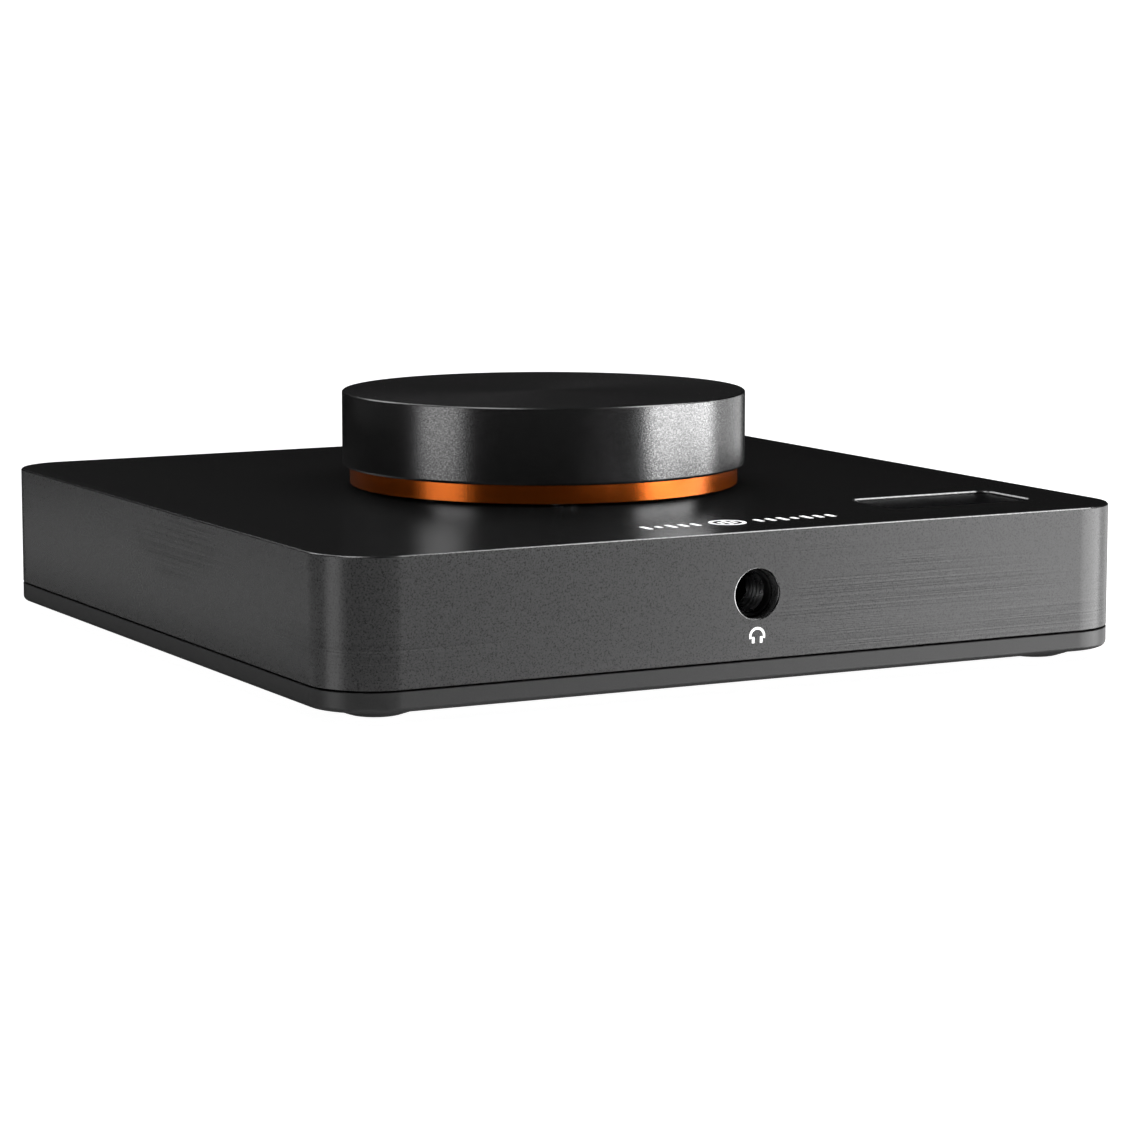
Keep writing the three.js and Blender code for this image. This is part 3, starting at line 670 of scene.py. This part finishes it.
def slot_hole(name, box, margin, radius, y_inside, y_face, flare=0.25 * MM):
    """A cutter along Y for a rectangular socket, around the part whose box is given."""
    low, high = box
    half_x, half_z = (high.x - low.x) / 2 + margin, (high.z - low.z) / 2 + margin
    cutter = stack(name, (0, 0), half_x + flare, half_z + flare, radius + flare,
                   [(flare, y_inside), (flare, y_face - flare), (0, y_face), (-flare, y_face + flare)], 10)
    cutter.data.transform(laid_down((low.x + high.x) / 2, (low.z + high.z) / 2))
    return cutter


def case_tools(low, high):
    """The cutters for every opening of the case."""
    rear, front = high.y, low.y
    port = port_height()
    reach = 4 * MM
    inside_rear, inside_front, inside_top = rear - reach, front + reach, high.z - reach
    window_low, window_high = window_opening()
    half_x, half_y = (window_high.x - window_low.x) / 2, (window_high.y - window_low.y) / 2
    centre = ((window_low.x + window_high.x) / 2, (window_low.y + window_high.y) / 2)
    lip = THIN_CHAMFER
    window = stack("window_tool", centre, half_x + lip, half_y + lip, WINDOW_CORNER + lip,
                   [(lip, inside_top), (lip, high.z - lip), (0, high.z), (-lip, high.z + lip)], 12)
    bush_hole = 4.65 * MM
    bush = turned("bush_tool", [
        (0, inside_top),
        (bush_hole, inside_top),
        (bush_hole, high.z + MM),
        (0, high.z + MM),
    ], KNOB_AXIS, "Z", 64)
    tools = [window, bush, through_hole("jack_tool", 0, port, 4.18 * MM, inside_front, front, 0.32 * MM)]
    for side in ("left", "right"):
        shell_low, shell_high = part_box(f"line_out_shell_{side}")
        x = (shell_low.x + shell_high.x) / 2
        tools.append(through_hole("line_tool", x, port, 4.6 * MM, inside_rear, rear))
    for node, radius in (("dc_jack_pin", 4.2 * MM), ("power_button_cap", 4.3 * MM)):
        part_low, part_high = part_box(node)
        x = (part_low.x + part_high.x) / 2
        tools.append(through_hole("round_tool", x, port, radius, inside_rear, rear))
    tools.append(slot_hole("usb_tool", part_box("usb_socket_shell"), 0.35 * MM, 1.9 * MM, inside_rear, rear))
    tools.append(slot_hole("optical_tool", optical_nose(), 0.3 * MM, 0.6 * MM, inside_rear, rear))
    return tools


def port_height():
    """Height of the middle of the round sockets."""
    low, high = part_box("dc_jack_pin")
    return (low.z + high.z) / 2


def window_opening():
    """The opening that the display window's plug fills, from the window's own box less its hidden flange."""
    low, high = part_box("display_window")
    flange = Vector((WINDOW_FLANGE, WINDOW_FLANGE, 0))
    return low + flange, high - flange


def optical_nose():
    """The square nose of the optical socket, which passes through the rear wall."""
    low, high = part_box("optical_socket_housing")
    middle = Vector(((low.x + high.x) / 2, 0, port_height() + 0.1 * MM))
    size = Vector((9.5, 0, 9.8)) * MM / 2
    return middle - size, middle + size


def build_base():
    low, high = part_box("base_plate")
    half = (high.x - low.x) / 2
    top = high.z - 1.2 * MM
    edge = rounded_profile([
        (3 * MM, low.z, 0),
        (0, low.z, 0.9 * MM),
        (0, top, 0.14 * MM),
        (3.4 * MM, top, 0.05 * MM),
        (3.4 * MM, high.z, 0.1 * MM),
        (5 * MM, high.z, 0),
    ], 6)
    plate = stack("base_cover", (0, CASE_Y), half, half, CASE_CORNER, edge, 32)
    shank_hole = 1.7 * MM
    for quarter in QUARTERS:
        screw_low, screw_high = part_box(f"base_screw_{quarter}")
        centre = ((screw_low.x + screw_high.x) / 2, (screw_low.y + screw_high.y) / 2, 0)
        sink = turned("sink", [
            (0, low.z - MM),
            (4.2 * MM, low.z - MM),
            (shank_hole, low.z + 1.7 * MM),
            (shank_hole, high.z + MM),
            (0, high.z + MM),
        ], centre, "Z", 64)
        cut(plate, sink)
    smooth(plate)
    place(plate, "root", "base_metal", "case_metal", "base_plate")


def middle(node):
    """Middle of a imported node's box."""
    low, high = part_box(node)
    return (low + high) / 2


def build_foot(quarter):
    node = f"foot_{quarter}"
    low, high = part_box(node)
    centre = (middle(node).x, middle(node).y, 0)
    radius = (high.x - low.x) / 2
    profile = rounded_profile([
        (0, low.z, 0),
        (4.3 * MM, low.z, 2.2 * MM),
        (radius - 0.1 * MM, high.z - 0.75 * MM, 0.5 * MM),
        (radius, high.z, 0),
        (0, high.z, 0),
    ], 8)
    pad = smooth(turned(f"foot_pad_{quarter}", profile, centre))
    place(pad, "root", "foot_rubber", "foot_rubber", node)


def build_case_screw(quarter):
    """A countersunk screw with a hexagon socket, head down."""
    node = f"base_screw_{quarter}"
    low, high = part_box(node)
    centre = (middle(node).x, middle(node).y, 0)
    head, shank, key = (high.x - low.x) / 2, 1.4 * MM, 1.15 * MM
    profile = rounded_profile([
        (0, low.z, 0),
        (head, low.z, 0.15 * MM),
        (shank, low.z + 1.5 * MM, 0.1 * MM),
        (shank, high.z, 0.3 * MM),
        (0, high.z, 0),
    ], 4)
    screw = turned(f"case_screw_{quarter}", profile, centre, "Z", 64)
    hexagon = [(key * math.cos(k * math.pi / 3), key * math.sin(k * math.pi / 3)) for k in range(6)]
    socket = prism("socket", hexagon, Matrix.Translation((centre[0], centre[1], low.z - MM)), 2.3 * MM)
    place(smooth(cut(screw, socket)), "root", "black_screw", "black_screw", node)


# ---------------------------------------------------------------- knob and ring

def build_knob():
    low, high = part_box("volume_knob")
    ring_low, ring_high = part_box("accent_ring")
    radius = (high.x - low.x) / 2
    bottom = ring_high.z + 0.05 * MM
    bore, hub, cavity, spigot = 3.1 * MM, 8 * MM, 27 * MM, 33 * MM
    bore_top, hub_foot, ceiling = bottom + 10 * MM, bottom + 0.5 * MM, high.z - 6 * MM
    skirt_edge = 0.45 * MM
    profile = rounded_profile([
        (0, bore_top, 0),
        (bore, bore_top, 0),
        (bore, hub_foot, 0.2 * MM),
        (hub, hub_foot, 0.3 * MM),
        (hub, ceiling, 0.5 * MM),
        (cavity, ceiling, 0.5 * MM),
        (cavity, low.z, 0.3 * MM),
        (spigot, low.z, 0.3 * MM),
        (spigot, bottom, 0.1 * MM),
        (radius - skirt_edge, bottom, 0.08 * MM),
        (radius, bottom + skirt_edge, 0.08 * MM),
        (radius, high.z - THIN_CHAMFER, 0.07 * MM),
        (radius - THIN_CHAMFER, high.z, 0.07 * MM),
        (radius - 2 * MM, high.z - 0.01 * MM, 0),
        (0, high.z - 0.12 * MM, 0),
    ], 4)
    knob = turned("knob_body", profile, KNOB_AXIS, "Z", 256)
    tunnel_radius = 1.65 * MM
    tunnel_start, tunnel_end = CASE_Y + MM, CASE_Y + radius + 0.4 * MM
    tunnel = turned("tunnel", [
        (0, tunnel_start),
        (tunnel_radius, tunnel_start),
        (tunnel_radius, CASE_Y + radius - 0.3 * MM),
        (2.3 * MM, tunnel_end),
        (0, tunnel_end),
    ], (0, 0, middle("knob_grub_screw").z), "Y", 48)
    smooth(cut(knob, tunnel), 30)
    rim = high.z - 0.24 * MM
    finish_faces(knob, [
        ("knob_chamfer", lambda face: face.center.z > rim and 0.3 < face.normal.z < 0.95),
        ("knob_metal", None),
    ])
    place(knob, "knob", "knob_metal", "knob_metal", "volume_knob")

    outer, inner = (ring_high.x - ring_low.x) / 2, 33.2 * MM
    soft = 0.12 * MM
    band = turned("ring_band", [
        (inner, ring_low.z),
        (outer - soft, ring_low.z),
        (outer, ring_low.z + soft),
        (outer, ring_high.z - soft),
        (outer - soft, ring_high.z),
        (inner, ring_high.z),
    ], KNOB_AXIS, "Z", 256, closed=True)
    place(smooth(band), "knob", "orange_metal", "orange_metal", "accent_ring")
    band.visible_glossy = False


# ---------------------------------------------------------------- window and print

def build_window():
    low, high = window_opening()
    box_low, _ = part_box("display_window")
    inset = 0.15 * MM
    flange_top = box_low.z + 1.1 * MM
    half_x, half_y = (high.x - low.x) / 2, (high.y - low.y) / 2
    centre = ((low.x + high.x) / 2, (low.y + high.y) / 2)
    layers = rounded_profile([
        (-WINDOW_FLANGE, box_low.z, 0),
        (-WINDOW_FLANGE, flange_top, 0),
        (inset, flange_top, 0),
        (inset, high.z, 0.12 * MM),
        (inset + MM, high.z, 0),
    ], 4)
    lens = stack("window_lens", centre, half_x, half_y, WINDOW_CORNER, layers, 12)
    place(smooth(lens), "root", "smoked_window", "smoked_window", "display_window")


def print_patch(outline, origin, right, up):
    """A flat printed shape on a face. Origin is a point of the face, and right and up span it."""
    right, up = Vector(right), Vector(up)
    out = right.cross(up)
    turn = Matrix((
        (right.x, up.x, out.x, origin[0]),
        (right.y, up.y, out.y, origin[1]),
        (right.z, up.z, out.z, origin[2]),
        (0, 0, 0, 1),
    ))
    return prism("patch", outline, turn, PRINT_THICKNESS)


def arc_band(outer, inner, start, end):
    """A band along an arc, in millimetres and degrees."""
    steps = 40
    angles = [math.radians(start + (end - start) * i / steps) for i in range(steps + 1)]
    rim = [(outer * MM * math.cos(a), outer * MM * math.sin(a)) for a in angles]
    core = [(inner * MM * math.cos(a), inner * MM * math.sin(a)) for a in reversed(angles)]
    return rim + core


def bar(x, y, width, height, radius):
    """A small upright bar with round corners, in millimetres."""
    return [(x * MM + px, y * MM + py)
            for px, py in rounded_outline(width * MM / 2, height * MM / 2, radius * MM, 6)]


def join_pieces(name, pieces):
    """One mesh from many, which are removed."""
    work = bmesh.new()
    for piece in pieces:
        work.from_mesh(piece.data)
        bpy.data.objects.remove(piece)
    mesh = bpy.data.meshes.new(name)
    work.to_mesh(mesh)
    work.free()
    obj = bpy.data.objects.new(name, mesh)
    bpy.context.scene.collection.objects.link(obj)
    return face_out(obj)


def build_print():
    low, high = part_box("top_case")
    lift = 0.005 * MM
    front = (0, low.y - lift, low.z + 3.9 * MM)
    band = arc_band(1.57, 1.12, -16, 196)
    cups = [bar(x, -0.62, 0.52, 1.1, 0.1) for x in (-0.78, 0.78)]
    parts = [print_patch(shape, front, (1, 0, 0), (0, 0, 1)) for shape in [band] + cups]
    place(join_pieces("headphone_symbol", parts), "root", "white_print_painted_glow", "white_plastic")

    origin = (1.1 * MM, low.y + 12 * MM, high.z + lift)
    shapes = [arc_band(3.3, 2.6, 0, 180), arc_band(3.3, 2.6, 180, 360)]
    shapes += [bar(x, 0, 0.7, height, 0.2) for x, height in ((-1.25, 2), (0, 3.8), (1.25, 2))]
    first, pitch, least, swing = 6.2, 2.4, 2, 1.8
    for side, count in ((-1, 5), (1, 7)):
        for number in range(count):
            height = least + swing * abs(math.sin(1.9 * number + 0.6))
            shapes.append(bar(side * (first + pitch * number), 0, 1.0, height, 0.3))
    parts = [print_patch(shape, origin, (1, 0, 0), (0, 1, 0)) for shape in shapes]
    place(join_pieces("level_bars_mark", parts), "root", "white_print_painted_glow", "white_plastic")


# ---------------------------------------------------------------- headphone socket

def softened(name, node, width):
    """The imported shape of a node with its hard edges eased."""
    mesh = frame["nodes"][node].data.copy()
    mesh.name = name
    mesh.materials.clear()
    obj = bpy.data.objects.new(name, mesh)
    bpy.context.scene.collection.objects.link(obj)
    work = bmesh.new()
    work.from_mesh(mesh)
    weld, flat = 0.002 * MM, math.radians(1)
    bmesh.ops.remove_doubles(work, verts=work.verts, dist=weld)
    bmesh.ops.dissolve_limit(work, angle_limit=flat, verts=work.verts, edges=work.edges, delimit={"NORMAL"})
    work.to_mesh(mesh)
    work.free()
    bevel = obj.modifiers.new("ease", "BEVEL")
    bevel.width = width
    bevel.segments = 2
    bevel.limit_method = "ANGLE"
    bevel.angle_limit = math.radians(40)
    bevel.use_clamp_overlap = True
    return smooth(bake(obj))


def build_headphone_socket():
    port = port_height()
    low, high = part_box("headphone_jack_housing")
    sleeve_low, sleeve_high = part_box("jack_sleeve_contact")
    block_front = low.y + 1.2 * MM
    gap = 0.1 * MM
    bore, bore_end = 3.6 * MM, block_front + 29 * MM
    nose_radius, sleeve_room = 4.1 * MM, 4 * MM
    half_x = (high.x - low.x) / 2
    half_y = (high.y - block_front) / 2
    ease = 0.3 * MM
    block = stack("jack_block", (0, block_front + half_y), half_x, half_y, 0.6 * MM, rounded_profile([
        (2 * MM, low.z, 0),
        (0, low.z, ease),
        (0, high.z, ease),
        (2 * MM, high.z, 0),
    ], 3), 4)
    nose = turned("jack_nose", rounded_profile([
        (0, low.y, 0),
        (nose_radius, low.y, 0.25 * MM),
        (nose_radius, block_front + MM, 0),
        (0, block_front + MM, 0),
    ], 4), (0, 0, port), "Y", 96)
    hollow = turned("jack_bore", [
        (0, low.y - MM),
        (bore + 1.3 * MM, low.y - MM),
        (bore, low.y + 0.3 * MM),
        (bore, sleeve_low.y - gap),
        (sleeve_room, sleeve_low.y - gap),
        (sleeve_room, sleeve_high.y + gap),
        (bore, sleeve_high.y + gap),
        (bore, bore_end),
        (0, bore_end),
    ], (0, 0, port), "Y", 96)
    slot_front, slot_back = sleeve_high.y + MM, bore_end - 2 * MM
    slot = stack("spring_slot", (0, (slot_front + slot_back) / 2), 1.85 * MM, (slot_back - slot_front) / 2,
                 0.3 * MM, [(0, port), (0, high.z + MM)], 3)
    housing = cut(fuse(block, nose), hollow, slot)
    housing.name = "jack_housing"
    # The housing takes the darker copy of black plastic: painted shade inside the hole.
    place(smooth(housing), "root", "socket_black_painted_shade", "black_plastic", "headphone_jack_housing")

    ribs, pitch, crest, valley, steps = 5, 1.2 * MM, 3.35 * MM, 3.7 * MM, 12
    inner = []
    for step in range(ribs * steps + 1):
        along = sleeve_low.y + 0.2 * MM + step / steps * pitch
        inner.append((crest + (valley - crest) * (1 - abs(math.sin(step / steps * math.pi))), along))
    outer = (sleeve_high.x - sleeve_low.x) / 2
    sleeve = turned("jack_ribbed_sleeve", [(outer, sleeve_low.y), (valley, sleeve_low.y)] + inner
                    + [(valley, sleeve_high.y), (outer, sleeve_high.y)], (0, 0, port), "Y", 96, closed=True)
    # The sleeve takes the darker copy of plated steel: painted shade deep in the hole.
    place(smooth(sleeve, 50), "root", "dull_steel_painted_shade", "plated_steel", "jack_sleeve_contact")
    for kind in ("ring", "tip"):
        node = f"jack_{kind}_contact"
        place(softened(f"jack_{kind}_spring", node, 0.06 * MM), "root", "plated_steel", "plated_steel", node)


# ---------------------------------------------------------------- rear sockets and button

def along_y(obj, x, z):
    """Lays an upright body down along Y, centred on (x, z)."""
    obj.data.transform(laid_down(x, z))
    return face_out(obj)


def build_line_out(side, insulator_finish):
    """One line output: plated sleeve, coloured insulator and centre contact."""
    node = f"line_out_shell_{side}"
    low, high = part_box(node)
    centre = (middle(node).x, 0, middle(node).z)
    outer, wall, lip, break_edge = (high.x - low.x) / 2, 0.8 * MM, 0.22 * MM, 0.07 * MM
    inner, groove = outer - wall, outer - 0.1 * MM
    shell = turned(f"line_out_sleeve_{side}", [
        (inner, low.y),
        (outer, low.y),
        (outer, high.y - 2.2 * MM),
        (groove, high.y - 2.1 * MM),
        (groove, high.y - 1.8 * MM),
        (outer, high.y - 1.7 * MM),
        (outer, high.y - lip),
        (outer - break_edge, high.y - break_edge),
        (outer - lip, high.y),
        (inner + lip, high.y),
        (inner + break_edge, high.y - break_edge),
        (inner, high.y - lip),
    ], centre, "Y", 96, closed=True)
    place(smooth(shell, 50), "root", "gold_plate", "gold_plate", node)

    node = f"line_out_insulator_{side}"
    low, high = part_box(node)
    outer, hole = (high.x - low.x) / 2, 1.8 * MM
    disc = turned(f"line_out_core_{side}", [
        (hole, low.y),
        (outer, low.y),
        (outer, high.y - 0.2 * MM),
        (outer - 0.2 * MM, high.y),
        (hole + 0.5 * MM, high.y),
        (hole, high.y - 0.5 * MM),
    ], centre, "Y", 96, closed=True)
    place(smooth(disc, 30), "root", insulator_finish, insulator_finish, node)

    node = f"line_out_contact_{side}"
    low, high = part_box(node)
    outer, inner = (high.x - low.x) / 2, 1.25 * MM
    pin = turned(f"line_out_pin_{side}", [
        (0, low.y),
        (outer, low.y),
        (outer, high.y - 0.12 * MM),
        (outer - 0.12 * MM, high.y),
        (inner + 0.1 * MM, high.y),
        (inner, high.y - 0.1 * MM),
        (inner, low.y + MM),
        (0, low.y + MM),
    ], centre, "Y", 64)
    place(smooth(pin, 30), "root", "gold_plate", "gold_plate", node)


def build_usb_socket():
    low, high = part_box("usb_socket_shell")
    half_x, half_z, wall = (high.x - low.x) / 2, (high.z - low.z) / 2, 0.3 * MM
    ease = 0.12 * MM
    outer = stack("usb_mouth", (0, 0), half_x, half_z, half_z - 0.02 * MM,
                  [(0, low.y), (0, high.y - ease), (ease * 0.3, high.y - ease * 0.3), (ease, high.y)], 12)
    inner = stack("usb_hollow", (0, 0), half_x - wall, half_z - wall, half_z - wall - 0.02 * MM,
                  [(0, low.y - MM), (0, high.y - ease * 0.6), (-wall, high.y + 0.4 * MM)], 12)
    shell = along_y(cut(outer, inner), middle("usb_socket_shell").x, middle("usb_socket_shell").z)
    place(smooth(shell), "root", "plated_steel", "plated_steel", "usb_socket_shell")

    tongue_low, tongue_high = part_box("usb_socket_tongue")
    centre = middle("usb_socket_tongue")
    tip = stack("usb_tongue", (0, 0), 3.35 * MM, 0.35 * MM, 0.3 * MM,
                [(0, tongue_low.y + MM), (0, tongue_high.y - 0.3 * MM), (0.2 * MM, tongue_high.y)], 4)
    root = stack("usb_tongue_root", (0, 0), 3.45 * MM, 1.2 * MM, 0.3 * MM,
                 [(0, tongue_low.y), (0, tongue_low.y + 1.6 * MM)], 4)
    place(smooth(along_y(fuse(tip, root), centre.x, centre.z)), "root", "black_plastic", "black_plastic",
          "usb_socket_tongue")
    pads = []
    pad_count, pad_pitch = 12, 0.5
    for side in (-1, 1):
        for number in range(pad_count):
            x = centre.x + (number - (pad_count - 1) / 2) * pad_pitch * MM
            outline = bar(0, 0, 0.26, 3.4, 0.06)
            origin = (x, tongue_high.y - 2.4 * MM, centre.z + side * 0.35 * MM)
            pads.append(print_patch(outline, origin, (side, 0, 0), (0, 1, 0)))
    place(join_pieces("usb_contact_pads", pads), "root", "gold_plate", "plated_steel")


def build_optical_socket():
    for name, node, body, width in (
        ("optical_housing", "optical_socket_housing", "root", 0.18 * MM),
        ("optical_flap", "optical_shutter", "shutter", 0.15 * MM),
    ):
        place(softened(name, node, width), body, "black_plastic", "black_plastic", node)


def build_power_socket():
    low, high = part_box("dc_jack_housing")
    port = port_height()
    x = middle("dc_jack_pin").x
    block_back = high.y - 3.1 * MM
    ease = 0.3 * MM
    half_x, half_y = (high.x - low.x) / 2, (block_back - low.y) / 2
    block = stack("dc_block", (x, (low.y + block_back) / 2), half_x, half_y, 0.4 * MM,
                  [(ease, low.z), (0, low.z + ease), (0, high.z - ease), (ease, high.z)], 3)
    nose_radius, pin_hole, mouth, flare = 3.9 * MM, 1.15 * MM, 3.1 * MM, 3.45 * MM
    nose = turned("dc_nose", rounded_profile([
        (0, block_back - MM, 0),
        (nose_radius, block_back - MM, 0),
        (nose_radius, high.y, 0.25 * MM),
        (0, high.y, 0),
    ], 4), (x, 0, port), "Y", 96)
    bore_end = high.y - 11.3 * MM
    bore = turned("dc_bore", [
        (0, bore_end - 2.3 * MM),
        (pin_hole, bore_end - 2.3 * MM),
        (pin_hole, bore_end),
        (mouth, bore_end),
        (mouth, high.y - 0.35 * MM),
        (flare, high.y),
        (flare, high.y + MM),
        (0, high.y + MM),
    ], (x, 0, port), "Y", 96)
    housing = cut(fuse(block, nose), bore)
    housing.name = "dc_housing"
    place(smooth(housing), "root", "black_plastic", "black_plastic", "dc_jack_housing")

    low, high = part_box("dc_jack_pin")
    pin_radius = 1.05 * MM
    pin = turned("dc_centre_pin", rounded_profile([
        (0, low.y, 0),
        (pin_radius, low.y, 0.1 * MM),
        (pin_radius, high.y, 0.6 * MM),
        (0, high.y, 0),
    ], 6), (x, 0, port), "Y", 48)
    place(smooth(pin), "root", "plated_steel", "plated_steel", "dc_jack_pin")


def build_power_button():
    low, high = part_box("power_button_cap")
    centre = middle("power_button_cap")
    radius = (high.x - low.x) / 2
    shoulder, stem, edge = high.y - 6.7 * MM, 1.5 * MM, 0.35 * MM
    cap = turned("power_button", rounded_profile([
        (0, low.y, 0),
        (stem, low.y, 0.2 * MM),
        (stem, shoulder, 0.1 * MM),
        (radius, shoulder, 0.15 * MM),
        (radius, high.y - edge, 0.12 * MM),
        (radius - edge, high.y, 0.12 * MM),
        (radius - 1 * MM, high.y, 0),
        (0, high.y - 0.15 * MM, 0),
    ], 4), (centre.x, 0, centre.z), "Y", 128)
    place(smooth(cap, 28), "power_button", "button_metal", "case_metal", "power_button_cap")


# ---------------------------------------------------------------- carried-over parts

def dress_cad_nodes():
    """Gives each CAD node that is still shown the finish of its material slot."""
    slots = {row["node"]: row["material_slot"] for row in frame["record"]["subparts"]}
    for name, obj in frame["nodes"].items():
        if obj.hide_render:
            continue
        obj.data.materials.clear()
        obj.data.materials.append(FINISHES[slots[name]])


add_camera()
add_stage()
add_lights()
build_case()
build_base()
for case_quarter in QUARTERS:
    build_foot(case_quarter)
    build_case_screw(case_quarter)
build_knob()
build_window()
build_print()
build_headphone_socket()
for line_out_side, core_finish in (("left", "white_plastic"), ("right", "red_plastic")):
    build_line_out(line_out_side, core_finish)
build_usb_socket()
build_optical_socket()
build_power_socket()
build_power_button()
dress_cad_nodes()

bpy.context.scene.view_settings.view_transform = "Standard"
